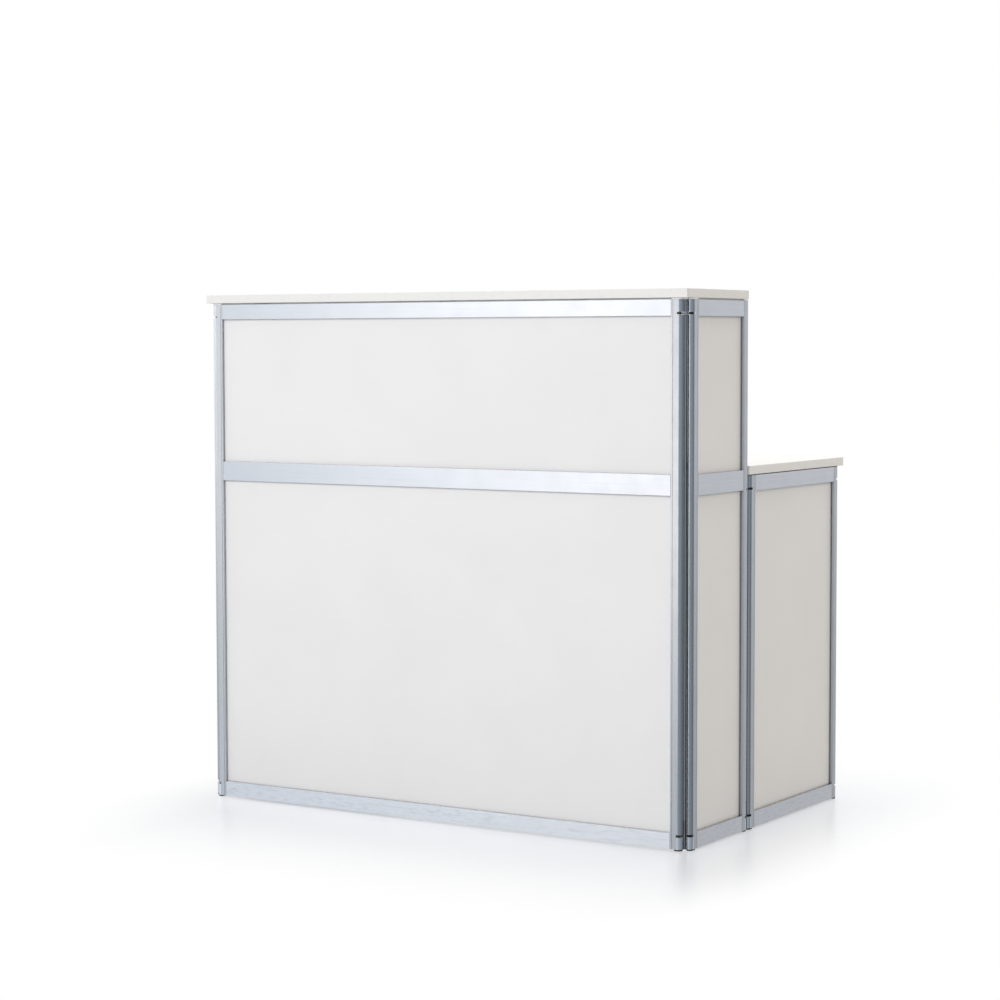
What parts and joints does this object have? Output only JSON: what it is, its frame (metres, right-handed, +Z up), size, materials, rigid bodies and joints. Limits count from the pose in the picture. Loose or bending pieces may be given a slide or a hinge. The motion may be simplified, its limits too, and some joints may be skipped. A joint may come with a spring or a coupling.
{
  "type": "folding information desk",
  "caption": "Folding information desk: hinged aluminium frames with white panels stand in a U and carry a high counter board in front and a lower desk board behind.",
  "frame": {"origin": "on the floor, in the middle of the area that the desk covers", "axes": "+X along the front from the visitor's left to right, +Y from the visitor towards the person at the desk, +Z up"},
  "size_m": [1.1902, 0.7266, 1.1035],
  "materials": {
    "frame_aluminium": "satin anodised",
    "panel_white": "fine matt",
    "worktop_white": "white laminate on a wood-based board",
    "edging_white": "fine matt",
    "hinge_steel": "black oxide",
    "foot_rubber": "matt",
    "cap_plastic": "light grey"
  },
  "bodies": {
    "front_frame": {"front_left_stile": "frame_aluminium", "front_right_stile": "frame_aluminium", "front_bottom_rail": "frame_aluminium", "front_mid_rail": "frame_aluminium", "front_top_rail": "frame_aluminium", "front_lower_panel": "panel_white", "front_upper_panel": "panel_white", "front_left_hinge_rod": "hinge_steel", "front_right_hinge_rod": "hinge_steel", "front_left_cap": "cap_plastic", "front_right_cap": "cap_plastic", "front_seal_strip": "foot_rubber"},
    "right_corner_hinge": {"right_corner_link": "frame_aluminium"},
    "right_tall_side": {"right_tall_front_stile": "frame_aluminium", "right_tall_rear_stile": "frame_aluminium", "right_tall_bottom_rail": "frame_aluminium", "right_tall_mid_rail": "frame_aluminium", "right_tall_top_rail": "frame_aluminium", "right_tall_lower_panel": "panel_white", "right_tall_upper_panel": "panel_white", "right_tall_front_hinge_rod": "hinge_steel", "right_tall_rear_hinge_rod": "hinge_steel", "right_tall_front_cap": "cap_plastic", "right_tall_rear_cap": "cap_plastic", "right_tall_seal_strip": "foot_rubber"},
    "right_middle_hinge": {"right_middle_link": "frame_aluminium"},
    "right_low_side": {"right_low_front_stile": "frame_aluminium", "right_low_rear_stile": "frame_aluminium", "right_low_bottom_rail": "frame_aluminium", "right_low_top_rail": "frame_aluminium", "right_low_panel": "panel_white", "right_low_front_hinge_rod": "hinge_steel", "right_low_rear_foot": "foot_rubber", "right_low_seat_strip": "foot_rubber"},
    "left_corner_hinge": {"left_corner_link": "frame_aluminium"},
    "left_tall_side": {"left_tall_front_stile": "frame_aluminium", "left_tall_rear_stile": "frame_aluminium", "left_tall_bottom_rail": "frame_aluminium", "left_tall_mid_rail": "frame_aluminium", "left_tall_top_rail": "frame_aluminium", "left_tall_lower_panel": "panel_white", "left_tall_upper_panel": "panel_white", "left_tall_front_hinge_rod": "hinge_steel", "left_tall_rear_hinge_rod": "hinge_steel", "left_tall_front_cap": "cap_plastic", "left_tall_rear_cap": "cap_plastic", "left_tall_seal_strip": "foot_rubber"},
    "left_middle_hinge": {"left_middle_link": "frame_aluminium"},
    "left_low_side": {"left_low_front_stile": "frame_aluminium", "left_low_rear_stile": "frame_aluminium", "left_low_bottom_rail": "frame_aluminium", "left_low_top_rail": "frame_aluminium", "left_low_panel": "panel_white", "left_low_front_hinge_rod": "hinge_steel", "left_low_rear_foot": "foot_rubber", "left_low_seat_strip": "foot_rubber"},
    "counter_board": {"counter_top": "worktop_white", "counter_edging": "edging_white"},
    "desk_board": {"desk_top": "worktop_white", "desk_edging": "edging_white"}
  },
  "joints": [
    {"name": "right_corner_swing", "type": "hinge", "parent": "front_frame", "child": "right_corner_hinge", "pos_m": [0.572, -0.35078, 0.54], "axis": [0, 0, 1], "range_deg": [-135, 45]},
    {"name": "right_tall_swing", "type": "hinge", "parent": "right_corner_hinge", "child": "right_tall_side", "pos_m": [0.58756, -0.33522, 0.54], "axis": [0, 0, 1], "range_deg": [-135, 45]},
    {"name": "right_middle_swing", "type": "hinge", "parent": "right_tall_side", "child": "right_middle_hinge", "pos_m": [0.58756, -0.10622, 0.365], "axis": [0, 0, -1], "range_deg": [-90, 90]},
    {"name": "right_low_swing", "type": "hinge", "parent": "right_middle_hinge", "child": "right_low_side", "pos_m": [0.58756, -0.08422, 0.365], "axis": [0, 0, -1], "range_deg": [-90, 90]},
    {"name": "left_corner_swing", "type": "hinge", "parent": "front_frame", "child": "left_corner_hinge", "pos_m": [-0.572, -0.35078, 0.54], "axis": [0, 0, -1], "range_deg": [-135, 45]},
    {"name": "left_tall_swing", "type": "hinge", "parent": "left_corner_hinge", "child": "left_tall_side", "pos_m": [-0.58756, -0.33522, 0.54], "axis": [0, 0, -1], "range_deg": [-135, 45]},
    {"name": "left_middle_swing", "type": "hinge", "parent": "left_tall_side", "child": "left_middle_hinge", "pos_m": [-0.58756, -0.10622, 0.365], "axis": [0, 0, 1], "range_deg": [-90, 90]},
    {"name": "left_low_swing", "type": "hinge", "parent": "left_middle_hinge", "child": "left_low_side", "pos_m": [-0.58756, -0.08422, 0.365], "axis": [0, 0, 1], "range_deg": [-90, 90]},
    {"name": "counter_lift", "type": "slide", "parent": "front_frame", "child": "counter_board", "axis": [0, 0, 1], "range_m": [0, 0.4]},
    {"name": "desk_lift", "type": "slide", "parent": "front_frame", "child": "desk_board", "axis": [0, 0, 1], "range_m": [0, 0.4]}
  ]
}
